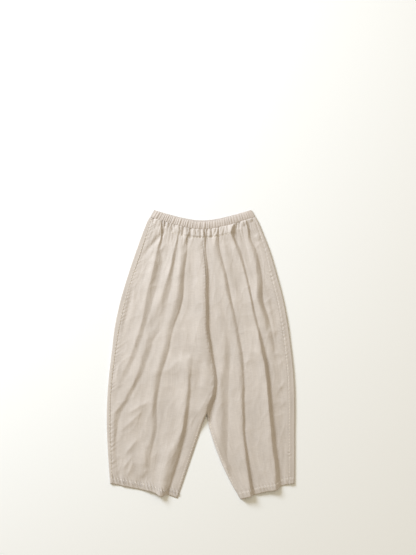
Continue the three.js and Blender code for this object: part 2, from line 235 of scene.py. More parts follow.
THIGH_FOLD = table(
    FOLD_COLUMNS,
    (60, -69, 0, 6, 10, 0),
    (85, -71, 2, 3, 12, 0),
    (120, -78, 4.5, 11, 14, 0),
    (200, -94.5, 7, 16, 16, 1),
    (280, -115.5, 5.5, 21, 18, 0),
    (320, -126.5, 4.5, 26, 18, 0),
    (360, -139, 3, 30, 20, 0),
    (400, -157, 5.5, 21, 20, 0),
    (440, -167.5, 4.5, 21, 22, 1),
    (520, -194.5, 4.5, 18, 24, 2),
    (600, -238, 4, 22, 26, 2),
    (640, -266.5, 7, 32, 22, 1),
    (700, -272, 8, 16, 16, 0),
    (745, -275, 7, 14, 14, 0),
    (795, -272, 0, 12, 12, 0),
)

KNEE_FOLD = table(
    FOLD_COLUMNS,
    (70, -40, 0, 6, 10, 0),
    (90, -43, 5, 8, 10, 0),
    (120, -45.5, 4, 15, 12, 0),
    (200, -54, 8, 17, 18, 1),
    (280, -60, 7, 23, 22, 2),
    (360, -85, 4.5, 21, 18, 1),
    (400, -95.5, 5.5, 20, 17, 1),
    (440, -103.5, 6, 18, 18, 1),
    (520, -127, 5, 17, 20, 1),
    (600, -139.5, 6, 16, 24, 1),
    (680, -140, 3.5, 16, 24, 1),
    (760, -158, 3, 21, 22, 0),
    (830, -160, 0, 16, 20, 0),
)

SHIN_FOLD = table(
    FOLD_COLUMNS,
    (440, -30, 0, 8, 14, 0),
    (470, -32, 2.5, 17, 16, 0),
    (520, -36, 3, 10, 20, 1),
    (600, -39, 6.5, 15, 24, 1),
    (680, -48.5, 9.5, 16, 26, 2),
    (760, -68, 11, 29, 28, 1),
    (840, -93.5, 8, 32, 28, 0),
    (896, -110, 15, 26, 28, 0),
)

RISE_FOLD = table(
    FOLD_COLUMNS,
    (62, 11.6, 3, 6, 10, 0),
    (85, 13, 5, 8, 14, 1),
    (120, 14.5, 4.5, 22, 18, 2),
    (200, 24, 7.5, 19, 24, 3),
    (280, 24, 9.5, 21, 28, 4),
    (360, 25.5, 11.5, 22, 36, 5),
    (440, 37.5, 10.5, 29, 66, 6),
    (500, 49.5, 11, 41, 86, 6),
    (540, 53, 10, 43, 82, 6),
    (580, 45.5, 10.5, 32, 60, 7),
    (600, 37, 11, 28, 48, 7),
    (622, 28.5, 11, 26, 36, 5),
    (645, 26, 9.5, 18, 28, 3),
    (670, 19, 7, 12, 24, 1),
    (690, 10, 5, 10, 22, 0),
    (720, -6, 3.5, 10, 18, 0),
    (800, -38, 0, 10, 18, 0),
)

INNER_FOLD = table(
    FOLD_COLUMNS,
    (300, 68, 0, 14, 18, 0),
    (380, 84, 1.2, 16, 18, 0),
    (440, 87.5, 2.5, 17, 20, 0),
    (520, 82, 5, 28, 22, 0),
    (600, 80, 4.5, 28, 22, 0),
    (680, 79, 4, 22, 22, 0),
    (735, 78, 4.5, 25, 20, 0),
    (767, 77.5, 4.5, 20, 18, 0),
    (795, 89, 4, 16, 14, 0),
    (825, 98, 0, 12, 12, 0),
)

FRONT_FOLD = table(
    FOLD_COLUMNS,
    (62, 53, 4, 7, 8, 0),
    (85, 52, 5, 11, 10, 0),
    (120, 55.5, 4.5, 21, 14, 1),
    (200, 77, 5, 12, 18, 1),
    (280, 93, 5.5, 12, 22, 1),
    (360, 110, 3, 11, 22, 1),
    (440, 126.5, 4.5, 13, 22, 2),
    (520, 134.5, 4.5, 21, 24, 3),
    (600, 135.5, 6, 17, 26, 4),
    (680, 138.5, 6.5, 17, 26, 5),
    (760, 149, 9.5, 16, 28, 6),
    (896, 167, 13, 16, 28, 6),
)

POCKET_FOLD = table(
    FOLD_COLUMNS,
    (34, 106, 4, 6, 8, 0),
    (48, 105, 7, 8, 9, 1),
    (72, 101.5, 9, 12, 10, 2),
    (95, 108, 6, 12, 12, 2),
    (120, 118, 6, 17, 14, 1),
    (200, 140, 3.5, 7, 16, 0),
    (280, 158, 6.5, 7, 20, 0),
    (360, 177, 4.5, 11, 22, 1),
    (440, 200, 12, 18, 24, 3),
    (520, 211, 12.5, 13, 28, 4),
    (600, 216.5, 12, 12, 30, 3),
    (760, 236, 12, 17, 32, 2),
    (880, 250, 11, 20, 32, 1),
)

OUTER_FOLD = table(
    FOLD_COLUMNS,
    (36, 143, 4, 6, 8, 0),
    (60, 148, 5, 8, 9, 0),
    (90, 153, 4.5, 10, 10, 0),
    (120, 166.5, 6.5, 16, 13, 0),
    (200, 184.5, 5, 17, 16, 0),
    (280, 189.5, 10, 17, 16, 0),
    (360, 212.5, 6.5, 18, 18, 0),
    (470, 232, 0, 14, 18, 0),
)

# Low rounded swells between the long folds, a ridge where high is above 0 and a hollow below it.
SWELLS = [
    table("down x high wide", *rows)
    for rows in (
        (
            (56, -112, 0, 6),
            (70, -117, -2.6, 8),
            (92, -136, -3, 10),
            (138, -177, -3, 11),
            (172, -198, 0, 11),
        ),
        ((230, -211, 0, 9), (290, -225, -3.6, 11), (345, -239, -3.4, 11), (400, -248, 0, 10)),
        ((290, -132, 0, 12), (330, -140, -2.2, 14), (380, -158, -1.8, 14), (430, -176, 0, 12)),
        ((400, 92, 0, 12), (460, 84, -1.2, 12), (600, 77, -1.4, 12), (820, 88, 0, 12)),
        ((205, 109, 0, 8), (240, 120, -1.5, 9), (295, 134, 0, 9)),
        ((90, 66, 0, 8), (130, 78, 1.6, 9), (190, 98, 0, 9)),
        ((446, -4, 0, 9), (472, -4, -3, 12), (515, -7, -2.4, 13), (585, -16, 0, 13)),
        ((452, -34, 0, 20), (490, -36, 2.8, 30), (570, -38, 2.4, 30), (630, -44, 0, 24)),
        ((570, 44, 0, 10), (622, 33, -4.4, 13), (662, 30, -4, 12), (705, 34, 0, 10)),
        ((90, -14, 0, 8), (150, -18, -1.0, 9), (300, -30, -0.8, 12), (420, -34, 0, 12)),
        ((250, 50, 0, 10), (330, 56, 1.0, 12), (430, 70, 0, 12)),
        ((520, 170, 0, 12), (640, 176, 1.2, 14), (800, 196, 0, 14)),
        ((560, -92, 0, 12), (680, -100, 1.4, 15), (820, -126, 0, 14)),
        ((84, -54, 0, 6), (105, -55, -1.4, 6), (140, -58, 0, 7)),
        ((640, 16, 0, 26), (695, 26, 3, 34), (800, 66, 5, 36), (896, 118, 4.4, 36)),
        ((120, 74, 0, 16), (180, 90, 2.2, 22), (280, 108, 2.4, 24), (360, 124, 0, 22)),
        ((725, -134, 0, 14), (785, -134, -3.8, 22), (842, -150, 0, 16)),
        ((722, -184, 0, 14), (785, -181, 4.6, 22), (845, -198, 0, 14)),
    )
]

# Short creases. Each is a ridge from (x0, down0) on its left to (x1, down1) on its right, and falls away
# from its crest line over the widths above and below.
CREASES = table(
    "x0 down0 x1 down1 high above below",
    (-157, 512, -92, 496, 1.2, 10, 16),
    (-110, 505, -58, 456, 3.2, 13, 44),
    (20, 572, 41, 543, 1.4, 4, 5),
    (18, 592, 38, 560, 1.4, 4, 5),
    (22, 545, 37, 517, 1.0, 4, 6),
    (28, 502, 41, 470, 0.8, 5, 7),
    (-72, 459, -18, 457, 2.2, 13, 36),
    (130, 480, 162, 455, 2.2, 9, 13),
    (-234, 636, -162, 590, 5, 18, 22),
    (-258, 694, -168, 610, 2.6, 10, 10),
    (-240, 762, -187, 699, 3, 11, 10),
    (-246, 808, -205, 752, 2.6, 9, 8),
    (-231, 831, -202, 768, 2.4, 9, 8),
    (-188, 832, -163, 798, 2, 9, 10),
    (-130, 132, -108, 102, 1.8, 6, 8),
    (-252, 330, -230, 268, 1.6, 6, 8),
    (-262, 430, -246, 372, 1.6, 6, 7),
    (-272, 548, -252, 468, 2.0, 7, 7),
    (196, 292, 222, 268, 1.6, 6, 7),
    (204, 322, 236, 300, 1.0, 7, 7),
    (206, 372, 240, 384, 1.8, 7, 8),
    (224, 440, 262, 452, 1.6, 7, 8),
    (238, 486, 264, 456, 1.4, 6, 7),
    (238, 560, 266, 524, 2.0, 7, 8),
    (240, 612, 268, 590, 1.6, 6, 9),
    (160, 90, 182, 74, 1.4, 5, 6),
    (168, 118, 192, 96, 1.6, 5, 7),
    (-182, 60, -160, 44, 0.8, 7, 8),
)


def lerp(a, b, share):
    """a at a share of 0, b at a share of 1, and straight between them."""
    return a + (b - a) * share


def smooth(share):
    """From 0 to 1 with no corner at either end."""
    t = np.clip(share, 0, 1)
    return t * t * (3 - 2 * t)


def bump(distance, wide):
    """1 at no distance, falling softly to nothing over about twice the width."""
    return np.exp(-((distance / wide) ** 2))


def curve(rows, along, column):
    """A smooth curve through a table's rows, straight beyond its ends."""
    u, v = rows[along], rows[column]
    last = len(u) - 1
    before = np.maximum(np.arange(last + 1) - 1, 0)
    after = np.minimum(np.arange(last + 1) + 1, last)
    slope = (v[after] - v[before]) / (u[after] - u[before])

    def at(place):
        place = np.asarray(place, float)
        i = np.clip(np.searchsorted(u, place, side="right") - 1, 0, last - 1)
        span = u[i + 1] - u[i]
        t = np.clip((place - u[i]) / span, 0, 1)
        s = 1 - t
        between = v[i] * (1 + 2 * t) * s * s + v[i + 1] * (3 - 2 * t) * t * t
        between += span * t * s * (slope[i] * s - slope[i + 1] * t)
        below = slope[0] * np.minimum(place - u[0], 0)
        above = slope[-1] * np.maximum(place - u[-1], 0)
        return between + below + above

    return at


def held(rows, column):
    """Straight between a table's rows, and constant beyond its ends."""
    return lambda down: np.interp(down, rows["down"], rows[column])


class Fold:
    """One long fold's place and sizes at any level, a little uneven as in real cloth."""

    def __init__(self, rows, seed, foot):
        self.seed = seed
        self.foot = foot
        self.x = curve(rows, "down", "x")
        self.high, self.wide = held(rows, "high"), held(rows, "wide")
        self.reach, self.roll = held(rows, "reach"), held(rows, "roll")

    def shape(self, x, down):
        """1 at the crest, 0 at the foot of the steep slope and far behind the crest."""
        wide = self.wide(down) * (1 + 0.16 * cloud(down, 0, 34, 1, self.seed))
        wander = 0.9 * cloud(down, 0, 46, 1, self.seed + 20)
        dark = self.x(down) + wander - LEAN_SHIFT * self.roll(down)
        before_foot = np.minimum(DARK_BEFORE_FOOT, 0.4 * wide) if self.foot > 0 else 0.6 * wide
        past_foot = x - dark - before_foot
        on_slope = np.clip(1 + past_foot / wide, 0, 1)
        even = (1 + np.cos(np.pi * on_slope)) / 2
        steep_at_foot = 1 - on_slope ** np.clip(wide / 8, 1.6, 3.2)
        steep_at_crest = (1 - on_slope) ** 1.7
        steep = lerp(even, steep_at_foot if self.foot > 0 else steep_at_crest, abs(self.foot))
        behind = np.maximum(-past_foot - wide, 0)
        crest = CREST_ROUND * wide
        foot = FOOT_DIP * bump(past_foot, np.where(past_foot < 0, 3.5, 7))
        return steep * np.exp((crest - np.hypot(behind, crest)) / self.reach(down)) - foot


# The number says where a fold's slope is steepest: -1 at the crest, 0 halfway down and 1 at the foot.
FOLDS = [
    Fold(HIP_FOLD, 101, -0.5),
    Fold(THIGH_FOLD, 102, -0.3),
    Fold(KNEE_FOLD, 103, 0.5),
    Fold(SHIN_FOLD, 104, 0.5),
    Fold(RISE_FOLD, 105, 0.95),
    Fold(INNER_FOLD, 106, 0.2),
    Fold(FRONT_FOLD, 107, 0.85),
    Fold(POCKET_FOLD, 108, 0.3),
    Fold(OUTER_FOLD, 109, 0.4),
]


class Leg:
    """The seams of one leg, each x as a function of down. outward is -1 or 1 along X."""

    def __init__(self, name, outward, hem):
        self.name = name
        self.outward = outward
        self.edge = curve(OUTLINE, "down", f"{name}_edge")
        self.inset = curve(OUTLINE, "down", f"{name}_inset")
        self.inseam = curve(INSEAMS, "down", f"{name}_leg")
        self.hem = curve(hem, "x", "down")

    def side_seam(self, down):
        return self.edge(down) - self.outward * self.inset(down)

    def front_inner(self, down):
        return np.where(down < CROTCH_DOWN, front_rise(down), self.inseam(down))

    def back_inner(self, down):
        share = (down - BAND_BOTTOM) / (CROTCH_DOWN - BAND_BOTTOM)
        return np.where(down < CROTCH_DOWN, lerp(BAND_MIDDLE, CROTCH_X, share), self.inseam(down))


front_rise = curve(FRONT_RISE, "down", "x")
RIGHT = Leg("right", -1, RIGHT_HEM)
LEFT = Leg("left", 1, LEFT_HEM)


def waist_dip(across):
    """How far the waist dips, 1 at the middle and 0 at the side corners."""
    out = np.clip(np.abs(across), 0, 1) / BAND_ROUND
    return 1 - (np.hypot(1, out) - 1) / (math.hypot(1, 1 / BAND_ROUND) - 1)


def band_bottom(x):
    """The level of the band's lower edge, which is the band seam."""
    return lerp(BAND_CORNER, BAND_BOTTOM, waist_dip((x - BAND_MIDDLE) / BAND_HALF_BOTTOM))


def crotch_row(leg, x):
    """The level of the row of cloth that runs through the crotch."""
    out = (x - CROTCH_X) / (leg.edge(CROTCH_DOWN) - CROTCH_X)
    return CROTCH_DOWN - SIDE_DROP_AT_CROTCH * np.maximum(out, 0)


def down_along(leg, x_at, share, tuck=0.0):
    """down at a share of the way from the band to the hem, for cloth lines given by x_at(down)."""
    def settle(level, start):
        down = np.full(np.shape(share), float(start))
        for _ in range(6):
            down = level(x_at(down))
        return down

    waist = settle(band_bottom, BAND_CORNER) - tuck
    crotch = settle(lambda x: crotch_row(leg, x), CROTCH_DOWN)
    hem = settle(leg.hem, LENGTH)
    upper = lerp(waist, crotch, share / CROTCH_SHARE)
    lower = lerp(crotch, hem, (share - CROTCH_SHARE) / (1 - CROTCH_SHARE))
    return np.where(share < CROTCH_SHARE, upper, lower), waist + tuck, hem


def uneven_wave(along, pitch, seed):
    """A wave from -1 to 1 whose lengths and heights vary, like gathers or puckers made by hand."""
    rng = np.random.default_rng(seed)
    count = 2 * int(1300 / pitch)
    knots = np.cumsum(rng.uniform(0.6, 1.4, count)) * pitch / 2 - 350
    heights = rng.uniform(0.3, 1.0, count) * np.where(np.arange(count) % 2, 1, -1)
    i = np.clip(np.searchsorted(knots, along) - 1, 0, count - 2)
    t = smooth((along - knots[i]) / (knots[i + 1] - knots[i]))
    return lerp(heights[i], heights[i + 1], t)


def cloud(x, y, size_x, size_y, seed):
    """Soft random hollows and swells from -1 to 1, of about the given sizes."""
    rng = np.random.default_rng(seed)
    grid = rng.uniform(-1, 1, (64, 64))
    gx, gy = x / size_x + 1000, y / size_y + 1000
    i, j = np.floor(gx).astype(int), np.floor(gy).astype(int)
    s, t = smooth(gx - i), smooth(gy - j)
    corner = lambda a, b: grid[(i + a) % 64, (j + b) % 64]
    near = lerp(corner(0, 0), corner(1, 0), s)
    far = lerp(corner(0, 1), corner(1, 1), s)
    return lerp(near, far, t)


def crease_height(x, down):
    """The short creases, each a ridge that dies away at both ends."""
    total = np.zeros_like(x)
    for x0, down0, x1, down1, high, above, below in zip(*CREASES.values()):
        long = math.hypot(x1 - x0, down1 - down0)
        run_x, run_down = (x1 - x0) / long, (down1 - down0) / long
        along = ((x - x0) * run_x + (down - down0) * run_down) / long
        aside = (down - down0) * run_x - (x - x0) * run_down
        away = np.hypot(aside, CREASE_ROUND) - CREASE_ROUND
        across = np.exp(-away / np.where(aside > 0, below, above))
        total += high * across * smooth(along / 0.35) * smooth((1 - along) / 0.35)
    return total


def swell_height(x, down):
    """The rounded swells and hollows between the long folds."""
    total = np.zeros_like(x)
    for rows in SWELLS:
        high, wide = held(rows, "high")(down), held(rows, "wide")(down)
        total += high * bump(x - curve(rows, "down", "x")(down), wide)
    return total


def across_share(leg, u):
    """0 at a front's inner edge and 1 at its side seam."""
    return u if leg is LEFT else 1 - u


def crumple_height(leg, u, down):
    """The small soft unevenness of washed cloth, drawn out along the leg."""
    across = u * PANEL_WIDTH
    seed = 61 + leg.outward
    soft = 0.8 * cloud(across, down, 24, 90, seed) + 0.3 * cloud(across, down, 9, 30, seed + 3)
    sharp = (1 - np.abs(cloud(across + 0.3 * down, down, 26, 44, seed + 6))) ** 4
    sharp += (1 - np.abs(cloud(across - 0.25 * down, down, 30, 52, seed + 9))) ** 4
    near_side = np.exp(-(1 - across_share(leg, u)) * PANEL_WIDTH / 32)
    return (soft + 0.5 * sharp) * (1 + near_side)


def pocket_mouth(down):
    """1 along the pocket mouth, where the side seam is left open, and 0 elsewhere."""
    return smooth((down - POCKET_TOP) / 12) * smooth((POCKET_BOTTOM - down) / 12)


def side_edge_height(leg, down):
    """The upper surface of the back where it lies on the front, just inside the outer edge."""
    return 2 * SIDE_ROLL + 0.35 * cloud(down, down * 0, 70, 1, 31 + leg.outward)


def puffs(along, count, seed):
    """Rounded puffs with sharp valleys between them, for along from -1 to 1: 0 in a valley, up to 1."""
    rng = np.random.default_rng(seed)
    widths = rng.uniform(0.5, 1.5, count)
    edges = np.concatenate([[0], np.cumsum(widths)]) / widths.sum() * 2 - 1
    heights = rng.uniform(0.45, 1.0, count)
    i = np.clip(np.searchsorted(edges, along, side="right") - 1, 0, count - 1)
    t = np.clip((along - edges[i]) / (edges[i + 1] - edges[i]), 0, 1)
    return heights[i] * (1 - np.abs(2 * t - 1) ** 2.4)


# The deeper pleats that the gathering draws in: a valley at x that runs from one level to another.
PLEATS = table(
    "x start end lean deep wide",
    (-146.5, 22, 38, 0, 3.6, 2.6),
    (-147, 27, 50, -1.0, 3.0, 3.4),
    (-119.3, 26, 92, 0, 4.6, 2.2),
    (-110, 33, 54, 0, 3.6, 2.4),
    (-97, 38, 50, 0.2, 1.8, 3.0),
    (-88, 46, 68, 0, 2.6, 3.6),
    (-80.5, 40, 56, 0.1, 2.4, 3.0),
    (-66, 44, 62, 0.1, 1.8, 3.0),
    (-53.5, 54, 82, -0.1, 3.2, 3.4),
    (-42, 54, 68, 0.3, 1.9, 3.0),
    (-31.5, 56, 90, 0, 3.7, 3.8),
    (-15, 58, 78, 0.1, 1.8, 3.0),
    (0, 60, 88, 0, 2.9, 3.0),
    (11, 60, 84, 0.1, 2.4, 2.8),
    (20.5, 60, 86, 0, 2.7, 3.0),
    (34, 59, 86, 0.1, 2.6, 3.0),
    (50, 56, 80, -0.4, 2.6, 3.2),
    (56, 50, 74, 0, 2.4, 3.0),
    (65, 54, 78, -0.2, 1.5, 2.2),
    (75, 52, 72, -0.2, 1.2, 2.2),
    (84, 48, 66, 0, 1.4, 2.2),
    (113, 40, 58, 0, 3.0, 2.8),
    (120, 34, 58, 0, 3.4, 2.8),
    (133, 26, 48, 0.2, 1.6, 3.0),
    (160, 22, 40, 0.3, 2.0, 3.4),
)

# Puffs of cloth that the gathering pushes up: a rounded bump at (x, down).
PUFFS = table(
    "x down half_width half_height high",
    (-158, 31, 9, 9, 2.6),
    (-133, 36, 11, 16, 3.0),
    (-103, 45, 6, 11, 2.4),
    (-70, 58, 10, 14, 2.6),
    (-43, 68, 8, 15, 2.4),
    (-22, 72, 7, 14, 1.5),
    (5, 74, 5, 13, 1.5),
    (27, 74, 6, 14, 1.9),
    (42, 72, 6, 12, 1.6),
    (64, 63, 8, 17, 3.0),
    (77, 60, 9, 16, 2.6),
    (90, 58, 9, 15, 3.2),
    (132, 39, 10, 12, 3.6),
    (152, 31, 8, 9, 2.2),
    (178, 84, 10, 12, 2.0),
)


def pleat_height(x, down):
    """The valleys of the deeper pleats."""
    total = np.zeros_like(x)
    for top_x, start, end, lean, deep, wide in zip(*PLEATS.values()):
        along = (down - start) / (end - start)
        centre = top_x + lean * (down - start)
        total -= deep * bump(x - centre, wide) * smooth((along + 0.2) * 4) * smooth((1.15 - along) * 2.5)
    return total


def puff_height(x, down):
    """The rounded bumps between the pleats."""
    total = np.zeros_like(x)
    for middle_x, middle_down, half_width, half_height, high in zip(*PUFFS.values()):
        far = ((x - middle_x) / half_width) ** 2 + ((down - middle_down) / half_height) ** 2
        total += high * np.clip(1 - far, 0, 1)
    return total


def yoke_height(leg, u, x, down, fallen):
    """The gathers under the band. u runs across the panel and fallen is the distance from the band."""
    wander = 0.05 * cloud(u * 150, fallen, 12, 16, 45 + leg.outward)
    gathered = puffs(2 * u - 1 + wander, YOKE_GATHERS, 41 + leg.outward)
    middle = bump(x - YOKE_MIDDLE, 70)
    stitched = smooth((YOKE_DEPTH - 1 - fallen) / 5)
    puffed = YOKE_PUFF * lerp(smooth((62 - fallen) / 55), stitched, middle) * smooth((fallen + 3) / 7)
    fine = lerp(smooth((80 - fallen) / 60), 0.35 + 0.65 * stitched, middle * 0.8)
    fine = fine * smooth((95 - fallen) / 50)
    return puffed + 1.2 * (gathered - 0.5) * fine + pleat_height(x, down) + puff_height(x, down)


# How strongly the stitching puckers the cloth along each side seam.
PUCKERS = table(
    "down right_leg left_leg",
    (22, 0.9, 1.0),
    (60, 0.5, 0.7),
    (120, 0.5, 0.9),
    (250, 0.7, 1.4),
    (400, 1.0, 1.4),
    (450, 1.3, 1.2),
    (560, 1.4, 1.3),
    (610, 0.6, 1.0),
    (650, 1.4, 1.1),
    (780, 1.5, 1.1),
    (820, 0.8, 0.7),
)


def side_pucker(leg, x, down):
    """Slanting puckers on both sides of the side seam."""
    side = np.abs(x - leg.side_seam(down))
    uneven = 0.8 + 0.9 * cloud(down, 0, 26, 1, 65 + leg.outward)
    strength = held(PUCKERS, f"{leg.name}_leg")(down) * uneven
    slanted = down + 0.7 * side
    wave = uneven_wave(slanted, 13, 51 + leg.outward) + 0.4 * uneven_wave(slanted, 6.5, 57 + leg.outward)
    return 0.8 * strength * wave * np.exp(-side / 9)


def pucker_height(leg, x, down, hem):
    """Puckers that the stitching draws into the cloth beside each seam and above the hem."""
    inner = np.abs(x - leg.front_inner(down))
    stitched = hem - HEM_DEPTH - down
    total = side_pucker(leg, x, down)
    total += 0.5 * uneven_wave(down - 0.3 * inner, 10, 53 + leg.outward) * bump(inner - 5, 5)
    at_hem = uneven_wave(x + 0.5 * stitched, 9.5, 55 + leg.outward) * bump(stitched + 3, 9)
    return total + HEM_PUCKER[leg.name] * at_hem


def folded(leg, u, x, down):
    """The height of the folded cloth before it is sewn, and how far its crests lean over."""
    z = np.full_like(x, REST)
    lean = np.zeros_like(x)
    for fold in FOLDS:
        shape = fold.shape(x, down)
        z += fold.high(down) * shape
        lean += fold.roll(down) * np.maximum(shape, 0) ** 2
    z += swell_height(x, down) + crease_height(x, down) + crumple_height(leg, u, down)
    return z, lean


def eased_to_seams(leg, z, down, fallen, from_side, from_inner):
    """The cloth brought down to the band seam, the side seam and the inseam."""
    z = lerp(BAND_SEAM, z, smooth((fallen + 2) / BAND_EASE))
    z = lerp(side_edge_height(leg, down) - 0.1, z, smooth(from_side / SEAM_EASE))
    below_crotch = smooth((down - INSEAM_EASE_START[leg.name]) / INSEAM_EASE)
    beside = lerp(INSEAM_HEIGHT[leg.name], z, smooth(from_inner / INNER_EASE[leg.name]))
    z = lerp(z, beside, below_crotch)
    lowest = 2 * (CLOTH + GAP)
    turned = lerp(lowest, z, smooth(from_inner / (INSEAM_TURN + CROTCH_TURN * (1 - below_crotch))))
    z = lerp(z, turned, smooth((down - CROTCH_DOWN + 5) / 20))
    return z + INSEAM_RIDGE * bump(from_inner - 5.5, 4.5) * below_crotch * smooth(from_inner / INSEAM_TURN)


def hem_height(in_hem):
    """The step of the turned-up cloth and the groove of its stitching, in_hem being how far below it."""
    return HEM_PLY * smooth(in_hem / 1.5 + 0.5) - HEM_GROOVE * bump(in_hem + 1, 1.6)


def sewn_height(leg, x, down, fallen, from_side, hem):
    """What the stitching adds to a front's height or takes from it."""
    in_hem = down - (hem - HEM_DEPTH)
    total = pucker_height(leg, x, down, hem) * smooth(fallen / 20)
    total += hem_height(in_hem) - 0.6 * smooth((in_hem - HEM_DEPTH + 3) / 3)
    total -= HEM_FALL * smooth(in_hem / HEM_DEPTH)
    total -= 0.4 * pocket_mouth(down) * bump(from_side, 4)
    total -= SECOND_ROW_GROOVE * bump(fallen - YOKE_DEPTH, 2.2) * bump(x - YOKE_MIDDLE, 62)
    return total


def front_point(leg, u, share):
    """A front panel's upper surface: x, down and z for places across (u) and down (share) the panel."""
    def x_at(down):
        side = leg.side_seam(down) + leg.outward * LAP
        lap = LAP * smooth((CROTCH_DOWN - down) / 12) if leg is LEFT else 0
        inner = leg.front_inner(down) - lap
        return lerp(np.minimum(side, inner), np.maximum(side, inner), u)

    down, waist, hem = down_along(leg, x_at, share, LAP)
    x = x_at(down)
    fallen = down - waist
    from_side = np.abs(x - leg.side_seam(down))
    from_inner = np.abs(x - leg.front_inner(down))
    z, lean = folded(leg, u, x, down)
    z = eased_to_seams(leg, z, down, fallen, from_side, from_inner)
    z += yoke_height(leg, u, x, down, fallen) * smooth((from_side + 2) / 9)
    z += sewn_height(leg, x, down, fallen, from_side, hem)
    on_back = 2 * CLOTH + GAP
    z = np.maximum(z, on_back)

    beyond_side = (x - leg.side_seam(down)) * leg.outward
    z -= TUCK * smooth((beyond_side + 0.1) / 1.4)
    if leg is LEFT:
        beyond_rise = leg.front_inner(down) - x
        z -= TUCK * smooth((beyond_rise + 1.2) / 1.8) * (down < CROTCH_DOWN)
    z = lerp(z, np.minimum(z, UNDER_BAND), smooth(-fallen / 1.5))
    return x + lean, down, z


def back_point(leg, u, share):
    """A back panel's outer surface: under the leg, round its outer edge and on top to the side seam."""
    out = leg.outward
    turn = np.pi * np.clip((u - FLAT_SHARE) / (ROLL_SHARE - FLAT_SHARE), 0, 1)
    under = np.clip(u / FLAT_SHARE, 0, 1)
    over = np.clip((u - ROLL_SHARE) / (1 - ROLL_SHARE), 0, 1)

    def x_at(down):
        centre = leg.edge(down) - out * SIDE_ROLL
        flat = lerp(leg.back_inner(down) + out * GAP, centre, under)
        return lerp(flat, leg.side_seam(down), over)

    down, waist, hem = down_along(leg, x_at, share)
    top = side_edge_height(leg, down)
    radius = top / 2
    x = x_at(down) + out * radius * np.sin(turn)
    z = radius * (1 - np.cos(turn))
    from_seam = np.abs(x - leg.side_seam(down))
    pucker = side_pucker(leg, x, down)
    firm = smooth((down - 280) / 120) if leg is RIGHT else 1.2
    ridge = lerp(0.1, 0.45, firm) * bump(from_seam - 5, 3.5)
    edge = -lerp(0.3, 0.5, firm) * smooth((2 - from_seam) / 2)
    mouth = 0.2 * pocket_mouth(down) * bump(from_seam, 5)
    z += np.where(over > 0, smooth(over * 4) * (pucker + ridge + edge + mouth), 0)
    z += np.where(over > 0, hem_height(down - (hem - HEM_DEPTH)), 0)
    crease = 0.5 + 0.5 * cloud(x, down, 30, 130, 63)
    z += np.where(turn == 0, 0.35 * crease * smooth(under * 8) * smooth((1 - under) * 8), 0)
    return x, down, z


def band_point(u, v):
    """The waistband's surface. u goes once round the waist and v once round the casing's section."""
    front, corner = 0.47, 0.03  # shares of u: the front, then an end, then the back, then an end
    part = np.mod(u, 1)
    across = np.where(part < front, lerp(-1, 1, part / front), 1.0)
    across = np.where(part > front + corner, lerp(1, -1, (part - front - corner) / front), across)
    across = np.clip(across, -1, 1)
    turn = np.pi * np.clip((part - front) / corner, 0, 1)
    turn += np.pi * np.clip((part - 2 * front - corner) / corner, 0, 1)
    on_front = (1 + np.cos(turn)) / 2
    dip = waist_dip(across)
    backward = BAND_BACK_RISE * (1 - on_front) * dip
    top = BAND_TOP * dip - backward
    bottom = lerp(BAND_CORNER, BAND_BOTTOM, dip) - backward

    round_section = 2 * np.pi * v
    wide = np.sign(np.cos(round_section)) * np.abs(np.cos(round_section)) ** BAND_SQUARE
    deep = np.sign(np.sin(round_section)) * np.abs(np.sin(round_section)) ** BAND_SQUARE
    level = 0.5 - 0.5 * wide  # 0 at the top edge and 1 at the bottom edge
    outer = 0.5 + 0.5 * deep  # 1 on the outer face and 0 on the inner one
    roll = BAND_WALL + GAP
    radius = roll - BAND_WALL * (1 - outer)
    side = np.sin(turn) * np.where(part < 0.5 + corner, 1, -1)
    half = lerp(BAND_HALF_TOP, BAND_HALF_BOTTOM, level) - roll
    gather = puffs(across + 0.012 * (level - 0.5), BAND_GATHERS, 71)
    ease = smooth((1 - np.abs(across)) * 10)
    crown = np.sin(np.pi * np.clip(level, 0, 1))
    puffed = 0.6 * crown + 2.7 * gather * (0.5 + 0.5 * crown) - 0.8
    raised = on_front * ease * (1.2 + outer * puffed)
    scallop = 1.2 * (gather - 0.6) * on_front * ease
    down = lerp(top - scallop, bottom + 0.4 * scallop, level)
    x = BAND_MIDDLE + across * half + np.abs(radius * np.sin(turn)) * np.sign(side + 1e-9)
    z = roll + radius * np.cos(turn) + raised
    return x, down, z


def only(thing):
    """Makes one object the active and only selected one."""
    bpy.ops.object.select_all(action="DESELECT")
    thing.select_set(True)
    bpy.context.view_layer.objects.active = thing


def sheet_of_cloth(name, grid, surface, cut, finer_top=0.0):
    """A grid whose points are moved onto a surface. Its UV map holds metres on the flat cut."""
    columns, rows = grid
    bpy.ops.object.select_all(action="DESELECT")
    bpy.ops.mesh.primitive_grid_add(x_subdivisions=columns, y_subdivisions=rows, size=1)
    cloth = bpy.context.object
    cloth.name = cloth.data.name = name
    count = len(cloth.data.vertices)
    flat = np.empty(count * 3)
    cloth.data.vertices.foreach_get("co", flat)
    flat = flat.reshape(-1, 3)
    u, v = flat[:, 0] + 0.5, flat[:, 1] + 0.5
    v = v + finer_top * v * (1 - v)
    x, down, z = surface(u, v)
    placed = np.column_stack([x, LENGTH / 2 - down, z]) * MM
    cloth.data.vertices.foreach_set("co", placed.ravel())
    corners = np.empty(len(cloth.data.loops), int)
    cloth.data.loops.foreach_get("vertex_index", corners)
    marks = np.column_stack([u * cut[0], v * cut[1]])[corners] * MM
    cloth.data.uv_layers.active.data.foreach_set("uv", marks.ravel())
    cloth.data.update()
    return cloth


def thicken(cloth):
    """Gives a surface the thickness of one layer, inwards."""
    only(cloth)
    wall = cloth.modifiers.new("Wall", "SOLIDIFY")
    wall.thickness = CLOTH * MM
    wall.offset = -1
    bpy.ops.object.modifier_apply(modifier=wall.name)


